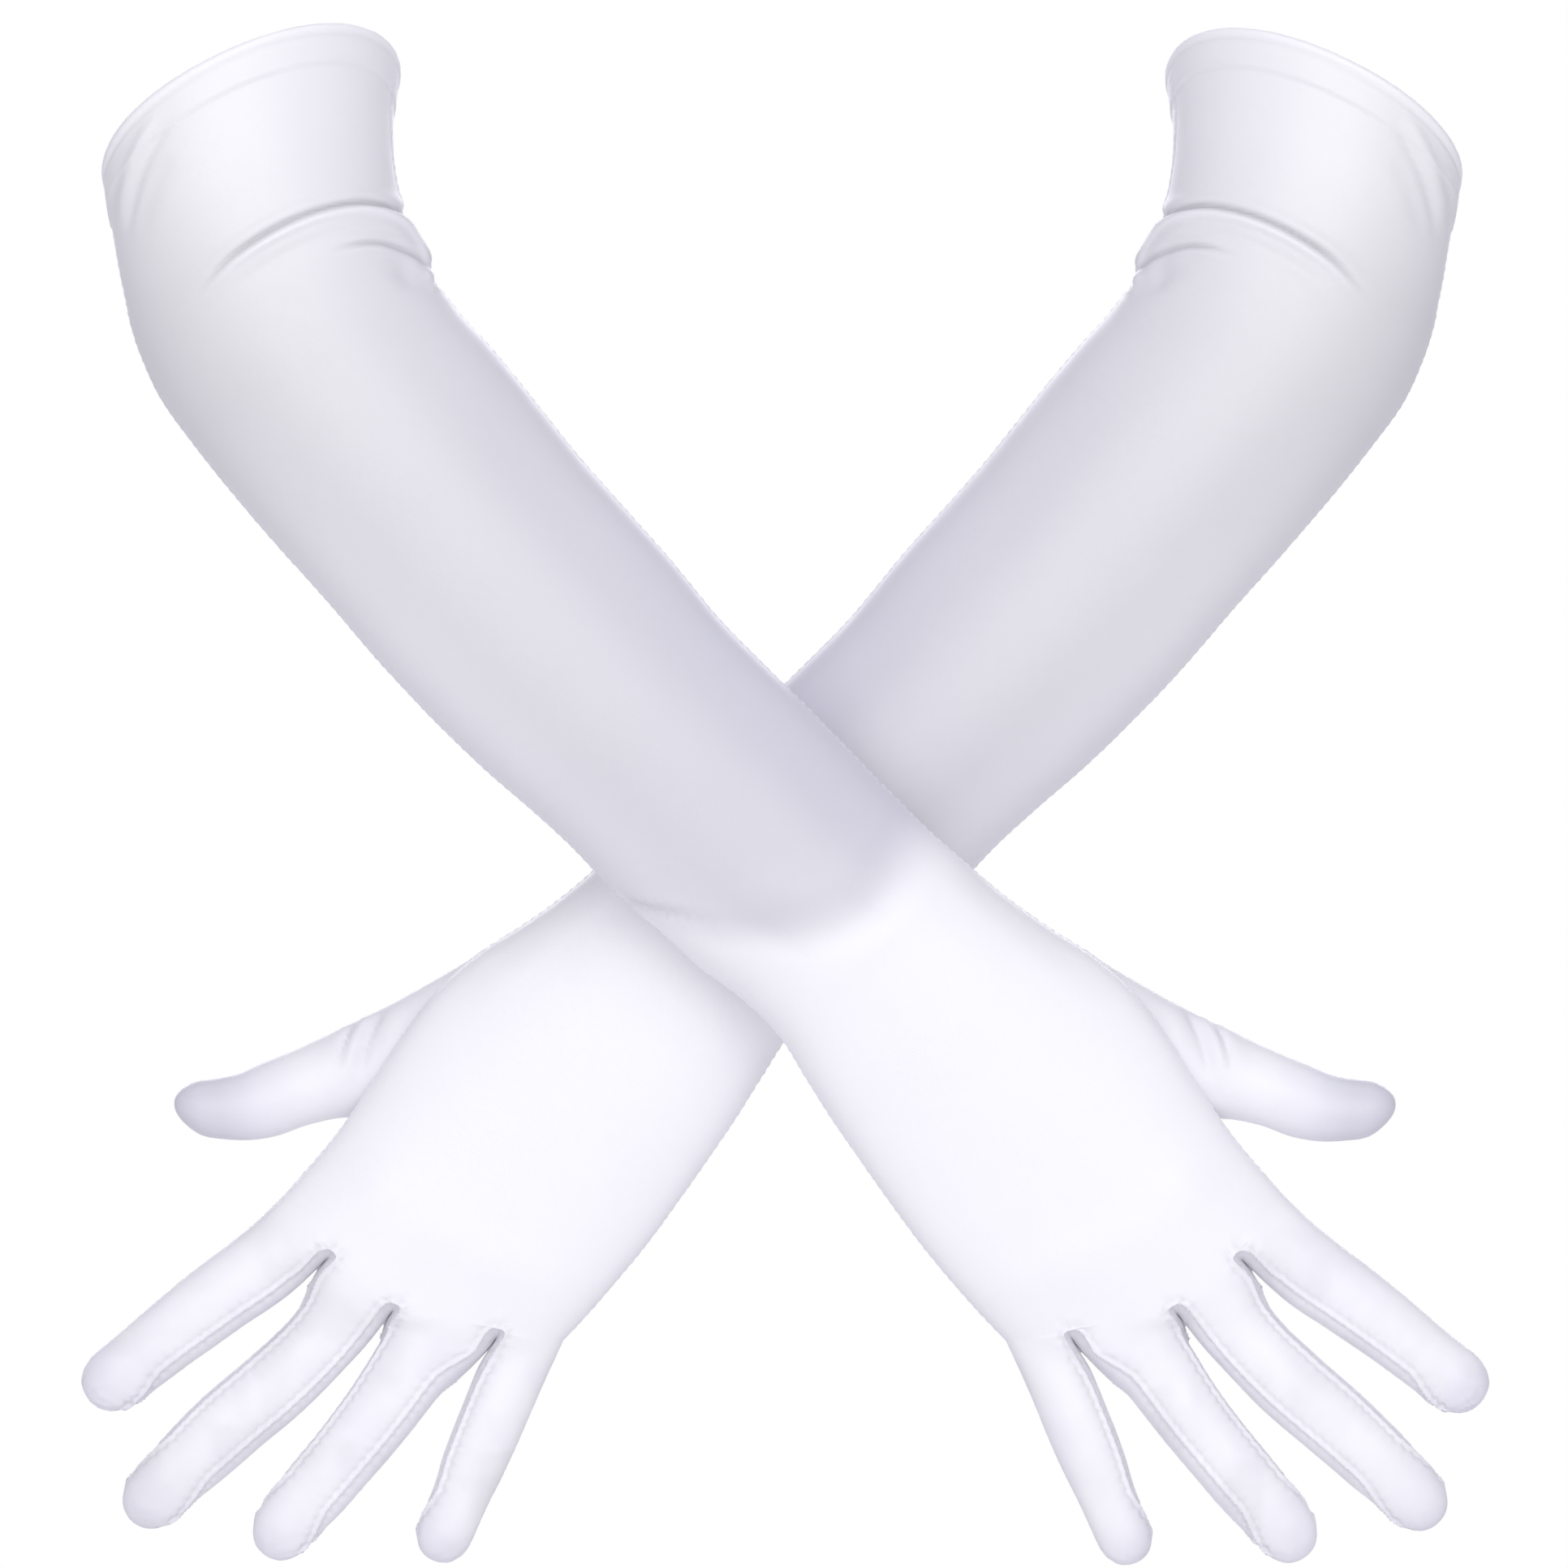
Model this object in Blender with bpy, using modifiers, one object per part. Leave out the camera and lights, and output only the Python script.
# A pair of opera-length stretch-satin gloves, right glove crossed in front of the left.
# Frame: +Z up, +X to the right glove's hand, -Y towards the viewer of the backs of the hands.
# The origin is the point under the crossing, at about the height of the lowest fingertip.
#
# Each glove has a back and a palm panel that meet in two side seams, a set-in thumb, six
# fourchette strips between the fingers, a turned hem, and the threads that close it. Panels
# are cut again at elbow, wrist and knuckles, because each length of a glove moves on its own.
import math
from collections import namedtuple

import bmesh
import bpy
from mathutils import Vector

MM = 0.001      # all sizes below are in mm, and become metres when a mesh is built

# ---------------------------------------------------------------- fabric, seams and hem
FABRIC = 0.7            # wall of a panel
SEAM_GAP = 0.55         # half of the gap between two panels at a seam
BODY_INSET = SEAM_GAP + FABRIC * 0.35   # from a side seam to the edge of a body panel
FACE_INSET = SEAM_GAP * 1.5             # the same for a finger's back and palm
FORK_INSET = SEAM_GAP * 1.35            # the same for a fourchette
INDEX_EXTRA = 0.45      # added to the first inset of a panel near the root of the index
WELD = 0.02             # points closer than this are merged
THREAD_R = 0.3          # radius of a thread
STITCH_OUT = 1.15       # from the sleeve's surface out to the hem stitching
HEM_TALL = 11.0         # height of the turned hem
HEM_IN = 1.7            # from the outside of the sleeve in to the turned band
HEM_WALL = 1.0          # thickness of the turned band, two layers of satin
RIM_TOP = 1.5           # height of the rolled edge over the mouth
RIM_UNDER = 0.45        # height of its underside
RIM_OUT = 0.5           # how far it stands out from the sleeve
RING_POINTS = 24        # points around the hem and its stitching
DEPTH_SHIFT = -0.14     # Y of the pair's mid plane

# ---------------------------------------------------------------- sleeve and hand
# Section stations from the mouth to the web of the fingers, for the right glove: outer edge
# x, z; inner edge x, z; offset from the pair's mid plane; half depth on the back and on the
# palm side; how far the back is drawn up along the arm.
Station = namedtuple("Station", "outer_x outer_z inner_x inner_z offset back_deep palm_deep lift")
STATIONS = [
    (-174.51, 355.16, -100.80, 390.86, 36.8, 35.0, 35.0, 18.4),
    (-174.09, 349.91, -101.64, 381.41, 36.6, 34.8, 34.8, 17.0),
    (-172.83, 342.35, -101.64, 371.33, 36.4, 34.6, 34.6, 15.4),
    (-171.36, 333.95, -100.80, 361.25, 36.1, 34.3, 34.3, 14.0),
    (-169.89, 326.81, -98.28, 349.91, 35.8, 34.0, 34.0, 12.6),
    (-168.63, 320.51, -92.61, 338.99, 35.5, 33.7, 33.7, 11.2),
    (-165.90, 312.11, -90.93, 332.90, 35.1, 33.4, 33.4, 9.4),
    (-160.86, 301.19, -87.57, 328.28, 34.7, 33.0, 33.0, 7.6),
    (-152.67, 289.85, -82.95, 322.40, 34.2, 32.6, 32.6, 5.8),
    (-142.59, 277.25, -77.07, 316.10, 33.7, 32.1, 32.1, 4.2),
    (-131.04, 263.81, -70.35, 308.12, 33.1, 31.5, 31.5, 2.8),
    (-118.02, 249.32, -62.79, 298.67, 32.4, 30.8, 30.8, 1.6),
    (-104.16, 233.15, -52.71, 286.07, 31.5, 29.9, 29.9, 0.7),
    (-90.30, 218.45, -41.37, 273.26, 30.5, 28.9, 28.9, 0.0),
    (-77.70, 206.27, -29.61, 260.03, 29.5, 27.9, 27.9, 0.0),
    (-65.52, 195.77, -17.43, 245.33, 28.5, 26.9, 26.9, 0.0),
    (-55.02, 186.11, -6.09, 233.78, 27.5, 25.9, 25.9, 0.0),
    (-44.10, 174.77, 4.41, 223.28, 26.5, 24.8, 24.8, 0.0),
    (-32.76, 164.90, 14.91, 212.57, 25.5, 23.6, 23.7, 0.0),
    (-22.26, 155.03, 25.62, 201.65, 24.5, 22.5, 22.6, 0.0),
    (-10.50, 146.21, 36.54, 190.73, 23.6, 21.4, 21.8, 0.0),
    (-0.84, 136.55, 47.88, 180.86, 22.7, 20.2, 20.9, 0.0),
    (5.46, 126.68, 57.54, 172.67, 21.8, 19.0, 20.0, 0.0),
    (12.18, 115.97, 68.04, 165.11, 21.0, 17.9, 19.2, 0.0),
    (19.32, 105.47, 79.59, 157.76, 20.2, 16.8, 18.4, 0.0),
    (26.46, 95.18, 90.09, 148.52, 19.5, 15.8, 17.6, 0.0),
    (34.44, 84.26, 98.91, 137.18, 18.8, 14.8, 16.6, 0.0),
    (43.26, 73.55, 107.52, 123.53, 18.2, 13.8, 15.2, 0.0),
    (50.61, 65.15, 117.18, 109.67, 17.7, 12.8, 13.6, 0.0),
    (57.54, 57.80, 129.57, 95.39, 17.2, 11.4, 11.6, 0.0),
]
STATIONS = [Station(*row) for row in STATIONS]
WRIST, THUMB_BASE, WEB = 21, 26, len(STATIONS) - 1

# Places along a glove, counted in stations.
CUFF_START, CUFF_END = 0.1, 3.6
SLEEVE_START, SLEEVE_END = 5.8, 21.1
HAND_START, HAND_END = 22.0, WEB - 0.15
CUFF_NOTCH, SLEEVE_NOTCH = -0.3, 0.2    # shift of the elbow cuts at the inner seam
HEM_LOW = HEM_TALL / 9.0                # lower edge of the hem's band
STITCH_AT = HEM_TALL / 11.5             # hem stitching
# Side seam threads: start, end and number of segments.
SEAM_RUNS = {
    "cuff": (0.5, CUFF_END - 0.5, 3),
    "sleeve": (SLEEVE_START + 0.4, SLEEVE_END - 0.3, 13),
    "hand": (HAND_START + 0.3, WEB - 0.5, 7),
}

# Roundness of a section: 2 is an ellipse, and more is squarer.
SLEEVE_ROUND, PALM_ROUND, FINGER_ROUND, THUMB_ROUND = 2.12, 2.55, 2.25, 2.2

# The three webs between the fingers, index side first, as x, z.
WEBS_BACK = [(116.76, 80.48), (100.17, 66.83), (73.29, 60.53)]
WEBS_PALM = [(121.59, 76.07), (104.37, 61.79), (76.86, 54.65)]
# Inner seam, three web lines and outer seam across the section, from +1 to -1.
SPLIT = [1.0, 0.5, 0.02, -0.56, -1.0]
WEB_LINE_POWER = 1.12   # how late the web lines leave their places at the wrist

# ---------------------------------------------------------------- fingers
# centres: x, z from the web to the tip; breadths: at each centre but the tip; depth as a share
# of breadth; roll about the finger's length in degrees; shift of the tip to the palm side.
Finger = namedtuple("Finger", "centres breadths depth_share roll tip_shift")
FINGERS = {
    "index": Finger(
        [(123.90, 86.99), (134.61, 77.33), (145.74, 69.35), (156.66, 61.16), (166.74, 53.18),
         (180.81, 42.26)],
        [19.4, 20.2, 19.2, 18.2, 17.2], 0.84, 30.0, 5.0),
    "middle": Finger(
        [(109.20, 71.45), (120.54, 57.38), (131.67, 46.46), (143.43, 36.38), (152.67, 27.77),
         (160.86, 19.79), (169.47, 10.55)],
        [22.0, 19.3, 19.5, 19.4, 18.5, 16.4], 0.88, 8.0, 6.0),
    "ring": Finger(
        [(87.99, 62.21), (96.18, 51.50), (104.58, 39.53), (113.61, 28.19), (121.80, 18.53),
         (128.52, 10.76), (134.82, 1.73)],
        [24.0, 21.0, 19.1, 18.2, 17.7, 16.1], 0.88, 16.0, 5.0),
    "little": Finger(
        [(66.57, 58.43), (71.61, 47.51), (76.44, 35.75), (80.64, 25.67), (84.42, 16.22),
         (91.14, 0.47)],
        [15.8, 16.9, 16.9, 16.2, 14.6], 0.92, 2.0, 3.0),
}
ORDER = list(FINGERS)
# Fourchettes of each finger: the side of the finger they lie on, and the end of their name.
FOURCHETTES = {
    "index": [("little_side", "inner")],
    "middle": [("little_side", "ring_side"), ("index_side", "index_side")],
    "ring": [("little_side", "little_side"), ("index_side", "middle_side")],
    "little": [("index_side", "inner")],
}
TIP_BREADTH = 0.96      # breadth at the tip's centre point, as a share of the last one
FINGER_DOME = 0.62      # length of the rounded tip, as a share of breadth
FINGER_DOME_ROUND = 2.15
FORK_HALF_DEG = 40.0    # half the angle that a fourchette takes of a finger's section
WEB_DEEPER = 6.5        # how much further out the web sits on the palm side
WEB_BLEND = 13.0        # length over which the palm turns into a finger
FINGER_START = 4.5      # from the web to where a finger's own solids start
KNUCKLE_AT = 6.0        # from the web to the axis a finger bends on
KNUCKLE_DEEP = 4.0      # how far that axis is to the palm side of the finger's middle
# Shares of a finger's length.
ROOT_END, SHAFT_END, PANEL_END = 0.30, 0.84, 0.985
TIP_ROWS = [0.91, 0.955, PANEL_END]
FORK_END = 0.86

# ---------------------------------------------------------------- thumb
# Centre x, z; breadth; depth; offset towards the palm.
THUMB = [
    (95.34, 139.91, 31.0, 19.0, 10.6),
    (105.00, 133.61, 26.0, 19.0, 10.6),
    (115.08, 127.94, 23.2, 18.8, 10.2),
    (126.21, 124.37, 20.0, 18.0, 9.6),
    (137.34, 120.59, 17.6, 16.8, 9.0),
    (147.42, 118.49, 15.6, 15.4, 8.4),
    (158.76, 117.65, 14.0, 14.0, 7.4),
]
# Places along the thumb, counted in points of that table.
THUMB_TIP = len(THUMB) - 1
THUMB_AT = 1.0          # where the thumb turns
THUMB_START = 1.3       # where its tube starts
THUMB_LAST_RING = THUMB_TIP - 0.03
THUMB_DOME = 0.95       # length of the rounded tip
THUMB_HOLE_END = 2.3
THUMB_HOLE_GROW = 1.3   # clearance of the hole around the thumb, in mm


# ---------------------------------------------------------------- curves
def smooth(t):
    t = max(0.0, min(1.0, t))
    return t * t * (3 - 2 * t)


def spread(a, b, n):
    return [a + (b - a) * i / n for i in range(n + 1)]


def mix(a, b, t):
    return tuple(p + (q - p) * t for p, q in zip(a, b))


def unit(x, z):
    length = math.hypot(x, z)
    return x / length, z / length


def power(c, roundness):
    """The sine or cosine of a superellipse, from that of a circle."""
    return math.copysign(abs(c) ** (2.0 / roundness), c)


def dome(t, roundness):
    """Share of the full section left at share t of a rounded tip's length."""
    return max(0.0, 1 - max(0.0, t) ** roundness) ** (1 / roundness)


def hermite(f, start, end, start_slope, end_slope):
    return (
        (2 * f**3 - 3 * f**2 + 1) * start + (f**3 - 2 * f**2 + f) * start_slope
        + (-2 * f**3 + 3 * f**2) * end + (f**3 - f**2) * end_slope
    )


def spline(points, t):
    """Catmull-Rom through tuples, t counted in points; it runs on straight past the end."""
    i = min(len(points) - 2, math.floor(t))
    f = t - i
    p1, p2 = points[i], points[i + 1]
    if f > 1:
        return tuple(b + (f - 1) * (b - a) for a, b in zip(p1, p2))
    p0 = points[i - 1] if i > 0 else tuple(2 * a - b for a, b in zip(p1, p2))
    p3 = points[i + 2] if i + 2 < len(points) else tuple(2 * b - a for a, b in zip(p1, p2))
    return tuple(
        hermite(f, b, c, (c - a) / 2, (d - b) / 2) for a, b, c, d in zip(p0, p1, p2, p3)
    )


def across(guides, u):
    """Point x, z at u, from +1 to -1, on a smooth curve through the five guide points."""
    i = 0
    while i < 3 and u < SPLIT[i + 1]:
        i += 1

    def slope(j, axis):
        a, b = max(0, j - 1), min(4, j + 1)
        return (guides[b][axis] - guides[a][axis]) / (SPLIT[b] - SPLIT[a])

    width = SPLIT[i + 1] - SPLIT[i]
    f = (u - SPLIT[i]) / width
    return tuple(
        hermite(f, guides[i][axis], guides[i + 1][axis],
                width * slope(i, axis), width * slope(i + 1, axis))
        for axis in (0, 1)
    )


# ---------------------------------------------------------------- sleeve and hand surface
# In all that follows, side is -1 for the right glove and +1 for the left, and k is a station.
def station_at(k):
    return Station(*spline(STATIONS, k))


def half_width(station):
    """Vector x, z from the middle of a section to its inner edge."""
    return (station.inner_x - station.outer_x) / 2, (station.inner_z - station.outer_z) / 2


def guide_points(k, back):
    """The section's five guide points: inner edge, three web lines, outer edge."""
    station = station_at(k)
    half_x, half_z = half_width(station)
    mid_x = (station.outer_x + station.inner_x) / 2
    mid_z = (station.outer_z + station.inner_z) / 2
    guides = [(mid_x + u * half_x, mid_z + u * half_z) for u in SPLIT]
    t = (k - WRIST) / (WEB - WRIST)
    if t > 0:
        at_wrist = guide_points(WRIST, back)
        for n, web in enumerate(WEBS_BACK if back else WEBS_PALM, 1):
            guides[n] = mix(at_wrist[n], web, t ** WEB_LINE_POWER)
    return guides


def section_point(guides, station, theta, back, roundness, side):
    """x, y, z of a section's point before x is mirrored, and its share of the half depth."""
    share = abs(math.sin(theta)) ** (2.0 / roundness)
    x, z = across(guides, power(math.cos(theta), roundness))
    deep = -station.back_deep if back else station.palm_deep
    return x, side * station.offset + deep * share, z, share


def body_point(k, theta, side):
    """A point of the sleeve or hand. theta 0 is the inner (index) side seam, pi the outer one;
    the back of the glove is between them."""
    back = math.sin(theta) >= 0
    station = station_at(k)
    roundness = SLEEVE_ROUND + (PALM_ROUND - SLEEVE_ROUND) * smooth((k - WRIST + 2) / 5)
    guides = guide_points(k, back)
    x, y, z, share = section_point(guides, station, theta, back, roundness, side)
    across_x, across_z = unit(*half_width(station))
    rise = station.lift * share * (1 if back else -1)
    return (-side * (x - across_z * rise), y, z + across_x * rise)


def ring_points(k, side):
    return [
        Vector(body_point(k, 2 * math.pi * i / RING_POINTS, side)) for i in range(RING_POINTS)
    ]


def seam_middle(k, side):
    """The point halfway between the two side seams."""
    return (Vector(body_point(k, 0.0, side)) + Vector(body_point(k, math.pi, side))) / 2


# ---------------------------------------------------------------- finger surface
def finger_length(name):
    centres = FINGERS[name].centres
    return sum(math.dist(a, b) for a, b in zip(centres, centres[1:]))


def finger_axis(name, d):
    """Centre, direction, breadth and shift to the palm side of a finger, d mm from the web."""
    finger = FINGERS[name]
    centres = finger.centres
    steps = [math.dist(a, b) for a, b in zip(centres, centres[1:])]
    run, i = 0.0, 0
    while i < len(steps) - 1 and run + steps[i] < d:
        run += steps[i]
        i += 1
    t = i + (d - run) / steps[i]
    before, after = spline(centres, max(0.0, t - 0.15)), spline(centres, t + 0.15)
    direction = unit(after[0] - before[0], after[1] - before[1])
    breadths = finger.breadths + [finger.breadths[-1] * TIP_BREADTH]
    breadth = spline([(b,) for b in breadths], t)[0]
    return spline(centres, t), direction, breadth, finger.tip_shift * (d / sum(steps)) ** 2


def finger_point(name, d, phi, side):
    """A point of a finger's own rounded section. phi 0 is its index side, pi its little-finger
    side, and the back is between."""
    centre, direction, breadth, shift = finger_axis(name, d)
    dome_length = FINGER_DOME * breadth
    left = dome((d - (finger_length(name) - dome_length)) / dome_length, FINGER_DOME_ROUND)
    half = breadth / 2 * left
    a = power(math.cos(phi), FINGER_ROUND) * half
    b = power(math.sin(phi), FINGER_ROUND) * half * FINGERS[name].depth_share
    x, z = centre[0] - direction[1] * a, centre[1] + direction[0] * a
    return (-side * x, side * STATIONS[WEB].offset + shift - b, z)


def web_direction(n):
    """Direction in which guide line n (0 to 4) runs on past the web."""
    if n in (0, 4):
        return finger_axis("index" if n == 0 else "little", 4)[1]
    a, b = finger_axis(ORDER[n - 1], 12)[1], finger_axis(ORDER[n], 12)[1]
    return unit(a[0] + b[0], a[1] + b[1])


def past_web(d, theta, back, side):
    """The palm's section carried on d mm past the webs, at angle theta."""
    moved = []
    for n, (x, z) in enumerate(guide_points(WEB, back)):
        dx, dz = web_direction(n)
        moved.append((x + d * dx, z + d * dz))
    x, y, z, _ = section_point(moved, station_at(WEB), theta, back, PALM_ROUND, side)
    return (-side * x, y, z)


def split_angle(n):
    """Section angle, on the back, of guide line n."""
    return math.acos(math.copysign(abs(SPLIT[n]) ** (PALM_ROUND / 2), SPLIT[n]))


def seam_angles(name, r):
    """The four seams of a finger at share r of its length: back/index side, back/little side,
    palm/little side, palm/index side."""
    roll = math.radians(FINGERS[name].roll)
    # The fourchette runs out before the tip.
    half = math.radians(FORK_HALF_DEG) * (1 - smooth((r - 0.72) / 0.2))
    back_index, back_little = half - roll, math.pi - half - roll
    palm_little, palm_index = math.pi + half - roll, 2 * math.pi - half - roll
    if name == "index":
        back_index, palm_index = -roll, 2 * math.pi - roll
    if name == "little":
        back_little = palm_little = math.pi - roll
    return back_index, back_little, palm_little, palm_index


def panel_point(name, panel, r, c, side):
    """A point of a finger's panel, which is back, palm, index_side or little_side. r runs from
    web to tip; c runs from the index side, or from the back on the two side panels."""
    n = ORDER.index(name)
    total = finger_length(name)
    back_index, back_little, palm_little, palm_index = seam_angles(name, r)
    theta_index, theta_little = split_angle(n), split_angle(n + 1)
    palm_run = r * (total - WEB_DEEPER)
    if panel == "back":
        phi = back_index + (back_little - back_index) * c
        d = r * total
        flat = past_web(d, theta_index + (theta_little - theta_index) * c, True, side)
    elif panel == "palm":
        phi = palm_index + (palm_little - palm_index) * c
        d = WEB_DEEPER + palm_run
        flat = past_web(palm_run, -(theta_index + (theta_little - theta_index) * c), False, side)
    else:
        if panel == "little_side":
            first, last, theta = back_little, palm_little, theta_little
        else:
            first, last, theta = back_index, palm_index - 2 * math.pi, theta_index
        phi = first + (last - first) * c
        d = r * total + c * WEB_DEEPER * (1 - r)
        flat = mix(past_web(r * total, theta, True, side),
                   past_web(palm_run, -theta, False, side), c)
    return mix(flat, finger_point(name, d, phi, side), smooth(r * total / WEB_BLEND))


# ---------------------------------------------------------------- thumb surface
def thumb_point(t, phi, side, grow=0.0):
    x, z, breadth, deep, offset = spline(THUMB, t)
    before, after = spline(THUMB, max(0, t - 0.1)), spline(THUMB, min(THUMB_TIP, t + 0.1))
    dx, dz = unit(after[0] - before[0], after[1] - before[1])
    left = dome((t - (THUMB_TIP - THUMB_DOME)) / THUMB_DOME, THUMB_ROUND)
    u = power(math.cos(phi), THUMB_ROUND) * (breadth / 2 * left + grow)
    v = power(math.sin(phi), THUMB_ROUND) * (deep / 2 * left + grow)
    return (-side * (x - dz * u), side * STATIONS[THUMB_BASE].offset + offset - v, z + dx * u)


def thumb_rows(side, start, end, n, grow=0.0, around=12):
    """Rings around the thumb, each ending on its first point."""
    return [
        [thumb_point(t, 2 * math.pi * i / around, side, grow) for i in range(around + 1)]
        for t in spread(start, end, n)
    ]


# ---------------------------------------------------------------- materials and objects
def material(name, colour, roughness):
    mat = bpy.data.materials.new(name)
    mat.use_nodes = True
    shader = mat.node_tree.nodes["Principled BSDF"]
    shader.inputs["Base Color"].default_value = (*colour, 1)
    shader.inputs["Roughness"].default_value = roughness
    shader.inputs["Metallic"].default_value = 0.0
    return mat


def satin(name):
    return material("satin_" + name, colour=(0.83, 0.82, 0.87), roughness=0.42)


def thread_material(name):
    return material("thread_" + name, colour=(0.86, 0.85, 0.88), roughness=0.6)


def add_object(name, data, home, mat=None):
    if mat:
        data.materials.append(mat)
    obj = bpy.data.objects.new(name, data)
    obj.location.y = DEPTH_SHIFT * MM
    home.objects.link(obj)
    return obj


def mesh_from(name, bm):
    mesh = bpy.data.meshes.new(name)
    bm.to_mesh(mesh)
    bm.free()
    return mesh


def sheet(name, rows, home, flip):
    """An open surface from rows of points, made a closed wall with Solidify."""
    bm = bmesh.new()
    grid = [[bm.verts.new(Vector(p) * MM) for p in (reversed(row) if flip else row)]
            for row in rows]
    for a, b in zip(grid, grid[1:]):
        for i in range(len(a) - 1):
            bm.faces.new((a[i], a[i + 1], b[i + 1], b[i]))
    bmesh.ops.remove_doubles(bm, verts=bm.verts, dist=WELD * MM)
    mesh = mesh_from(name, bm)
    mesh.shade_smooth()
    obj = add_object(name, mesh, home, satin(name))
    wall = obj.modifiers.new("wall", "SOLIDIFY")
    wall.thickness = FABRIC * MM
    wall.offset = -1.0
    wall.use_even_offset = False
    return obj


def thread(name, points, home, closed=False):
    curve = bpy.data.curves.new(name, "CURVE")
    curve.dimensions = "3D"
    curve.bevel_depth = THREAD_R * MM
    curve.bevel_resolution = 0
    curve.use_fill_caps = True
    line = curve.splines.new("POLY")
    line.points.add(len(points) - 1)
    for point, (x, y, z) in zip(line.points, points):
        point.co = (x * MM, y * MM, z * MM, 1)
    line.use_cyclic_u = closed
    add_object(name, curve, home, thread_material(name))


# ---------------------------------------------------------------- pieces
def body_sheet(name, start, end, rows, cols, side, home, start_notch=0.0, end_notch=0.0):
    """A back or palm panel between two stations, whose ends may be cut on a slant."""
    back = name.endswith("back")
    lines = []
    for k, notch in zip(spread(start, end, rows), spread(start_notch, end_notch, rows)):
        # The section angle that takes up the inset next to the side seam.
        p, q = Vector(body_point(k, 0.0, side)), Vector(body_point(k, 0.12, side))
        gap = 0.12 * BODY_INSET / (q - p).length
        first, last = (gap, math.pi - gap) if back else (2 * math.pi - gap, math.pi + gap)
        lines.append([body_point(k + notch * math.cos(theta), theta, side)
                      for theta in spread(first, last, cols)])
    return sheet(name, lines, home, flip=(side > 0) == back)


def finger_sheet(name, finger, panel, cols, shares, inset, side, home):
    """One panel of a finger, inset from its seams."""
    lines = []
    for r in shares:
        first, mid, last = (Vector(panel_point(finger, panel, r, c, side)) for c in (0, 0.5, 1))
        run = max(1.0, (first - mid).length + (mid - last).length)
        extra = INDEX_EXTRA if finger == "index" and r < ROOT_END else 0.0
        start, end = min(0.35, (inset + extra) / run), 1 - min(0.35, inset / run)
        lines.append([panel_point(finger, panel, r, c, side) for c in spread(start, end, cols)])
    sheet(name, lines, home, flip=(side > 0) == (panel in ("back", "little_side")))


def finger_sheets(tag, finger, side, home):
    """The back, palm and fourchette strips of one finger."""
    root = FINGER_START / finger_length(finger)
    shares = spread(root, ROOT_END, 3)[:-1] + spread(ROOT_END, SHAFT_END, 3) + TIP_ROWS
    for panel in ("back", "palm"):
        finger_sheet(f"{tag}_{finger}_{panel}", finger, panel, 4, shares, FACE_INSET, side, home)
    fork_shares = [r for r in shares if r < FORK_END]
    for panel, ending in FOURCHETTES[finger]:
        name = f"{tag}_{finger}_fourchette_{ending}"
        finger_sheet(name, finger, panel, 2, fork_shares, FORK_INSET, side, home)


def thumb_tube(tag, side, home):
    """The set-in thumb: a tube closed at its tip and open where it is sewn to the palm."""
    rows = thumb_rows(side, THUMB_START, THUMB_LAST_RING, 9)
    rows.append([thumb_point(THUMB_TIP, 0.0, side)] * len(rows[0]))
    sheet(f"{tag}_thumb", rows, home, flip=side > 0)


def thumb_cutter(tag, side, helpers):
    """A helper in the shape of the thumb's root, which cuts its hole in the palm."""
    rows = thumb_rows(side, 0.0, THUMB_HOLE_END, 5, grow=THUMB_HOLE_GROW)
    bm = bmesh.new()
    rings = [[bm.verts.new(Vector(p) * MM) for p in row[:-1]] for row in rows]
    for a, b in zip(rings, rings[1:]):
        for i in range(len(a)):
            j = (i + 1) % len(a)
            bm.faces.new((a[i], a[j], b[j], b[i]))
    bm.faces.new(rings[0])
    bm.faces.new(rings[-1])
    bmesh.ops.recalc_face_normals(bm, faces=bm.faces)
    name = f"{tag}_thumb_hole"
    obj = add_object(name, mesh_from(name, bm), helpers)
    obj.hide_render = True
    obj.display_type = "WIRE"
    return obj


def hem_band(tag, side, home):
    """The turned hem: a band inside the mouth with a flat rolled edge over the panels' ends."""
    n = RING_POINTS
    rim, low = ring_points(0.0, side), ring_points(HEM_LOW, side)
    centre = sum(rim, Vector()) / n
    axis = (rim[0] - centre).cross(rim[n // 4] - centre).normalized()
    if axis.z < 0:
        axis = -axis
    bm = bmesh.new()
    profiles = []
    for i, (p, q) in enumerate(zip(rim, low)):
        out = (rim[(i + 1) % n] - rim[i - 1]).cross(q - p).normalized()
        if out.dot(p - centre) < 0:
            out = -out
        flat = (out - axis * out.dot(axis)).normalized()
        # The mouth's plane is on a slant to the sleeve, so a wall's offset is longer in it.
        mitre = flat / flat.dot(out)
        top = p + axis * RIM_TOP
        profile = [
            top + flat * RIM_OUT,
            top - mitre * (HEM_IN + HEM_WALL),
            q - out * (HEM_IN + HEM_WALL),
            q - out * HEM_IN,
            p - mitre * HEM_IN + axis * RIM_UNDER,
            p + flat * RIM_OUT + axis * RIM_UNDER,
        ]
        profiles.append([bm.verts.new(v * MM) for v in profile])
    for i, a in enumerate(profiles):
        b = profiles[(i + 1) % n]
        for j in range(len(a)):
            m = (j + 1) % len(a)
            bm.faces.new((a[j], a[m], b[m], b[j]))
    bmesh.ops.recalc_face_normals(bm, faces=bm.faces)
    name = f"{tag}_hem"
    add_object(name, mesh_from(name, bm), home, satin(name))


def hem_stitching(tag, side, home):
    centre = seam_middle(1.0, side)
    ring = [p + (p - centre).normalized() * STITCH_OUT for p in ring_points(STITCH_AT, side)]
    thread(f"{tag}_hem_stitching", ring, home, closed=True)


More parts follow.
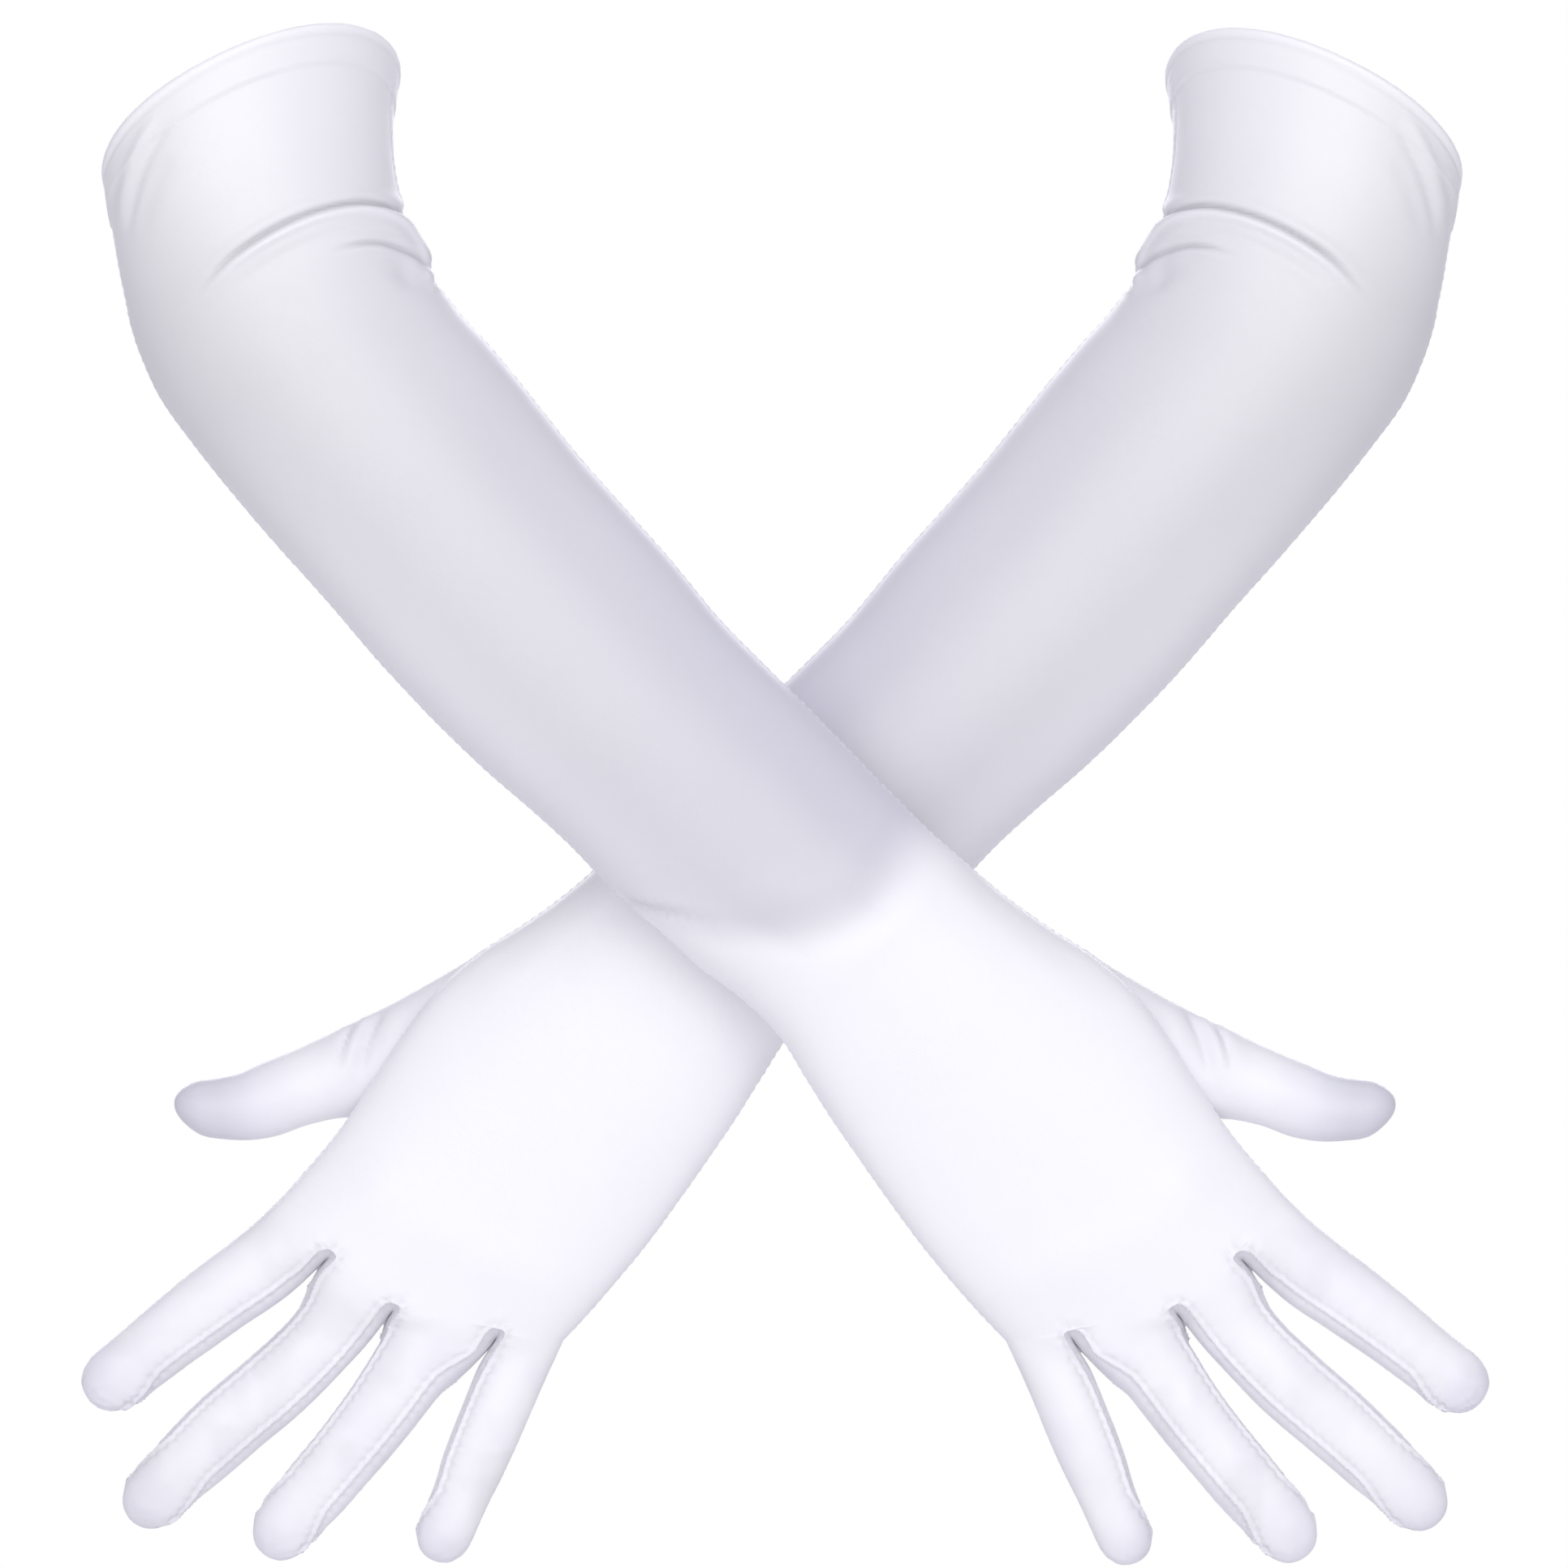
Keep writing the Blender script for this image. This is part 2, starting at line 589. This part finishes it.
def seam_threads(tag, side, home):
    for part, (start, end, n) in SEAM_RUNS.items():
        for edge, theta in (("inner", 0.0), ("outer", math.pi)):
            line = [body_point(k, theta, side) for k in spread(start, end, n)]
            thread(f"{tag}_{part}_{edge}_seam_thread", line, home)


def glove(tag, side, home, helpers):
    hem_band(tag, side, home)
    for face in ("back", "palm"):
        body_sheet(f"{tag}_cuff_{face}", CUFF_START, CUFF_END, 4, 12, side, home,
                   end_notch=CUFF_NOTCH)
        body_sheet(f"{tag}_sleeve_{face}", SLEEVE_START, SLEEVE_END, 12, 10, side, home,
                   start_notch=SLEEVE_NOTCH)
    body_sheet(f"{tag}_hand_back", HAND_START, HAND_END, 7, 12, side, home)
    palm = body_sheet(f"{tag}_hand_palm", HAND_START, HAND_END, 7, 12, side, home)
    opening = palm.modifiers.new("opening", "BOOLEAN")
    opening.operation = "DIFFERENCE"
    opening.object = thumb_cutter(tag, side, helpers)
    opening.solver = "EXACT"
    thumb_tube(tag, side, home)
    for finger in ORDER:
        finger_sheets(tag, finger, side, home)
    seam_threads(tag, side, home)
    hem_stitching(tag, side, home)


# ---------------------------------------------------------------- hinges
def hinge_points(side):
    """Where each body of a glove turns, in mm."""
    elbow = [
        body_point(k + notch * math.cos(theta), theta, side)
        for theta in (0.0, math.pi)
        for k, notch in ((CUFF_END, CUFF_NOTCH), (SLEEVE_START, SLEEVE_NOTCH))
    ]
    x, z, _, _, offset = spline(THUMB, THUMB_AT)
    turns = {
        "cuff": seam_middle(0, side),
        "sleeve": sum((Vector(p) for p in elbow), Vector()) / 4,
        "hand": seam_middle((SLEEVE_END + HAND_START) / 2, side),
        "thumb": Vector((-side * x, side * STATIONS[THUMB_BASE].offset + offset, z)),
    }
    for name in ORDER:
        (x, z), _, _, shift = finger_axis(name, KNUCKLE_AT)
        y = side * STATIONS[WEB].offset + shift + KNUCKLE_DEEP
        turns[name] = Vector((-side * x, y, z))
    return turns


def hang(tag, side, home, root):
    """Parents each piece to an empty where its body turns; the empties follow the arm."""
    above = {"sleeve": "cuff", "hand": "sleeve", "thumb": "hand"}
    above.update({name: "hand" for name in ORDER})
    shift = Vector((0, DEPTH_SHIFT, 0))
    turns = {name: (p + shift) * MM for name, p in hinge_points(side).items()}
    pieces = [o for o in home.objects if o.type != "EMPTY" and o.name.startswith(tag)]
    empties = {}
    # Each body comes after the one it hangs from.
    for name, place in turns.items():
        empty = bpy.data.objects.new(f"{tag}_{name}_turns_here", None)
        empty.empty_display_size = 0.01
        home.objects.link(empty)
        up = above.get(name)
        empty.parent = empties[up] if up else root
        empty.location = place - (turns[up] if up else Vector())
        empties[name] = empty
    for obj in pieces:
        # The second word of a piece's name is its body; the hem belongs to the cuff.
        part = obj.name.split("_")[1]
        name = part if part in turns else "cuff"
        obj.parent = empties[name]
        obj.location -= turns[name]


def new_collection(name):
    collection = bpy.data.collections.new(name)
    bpy.context.scene.collection.children.link(collection)
    return collection


for old in list(bpy.data.objects):
    bpy.data.objects.remove(old)
pair = new_collection("opera_gloves")
cutters = new_collection("cutters")
middle = bpy.data.objects.new("pair_middle", None)
pair.objects.link(middle)
for tag, side in (("right", -1), ("left", 1)):
    glove(tag, side, pair, cutters)
    hang(tag, side, pair, middle)
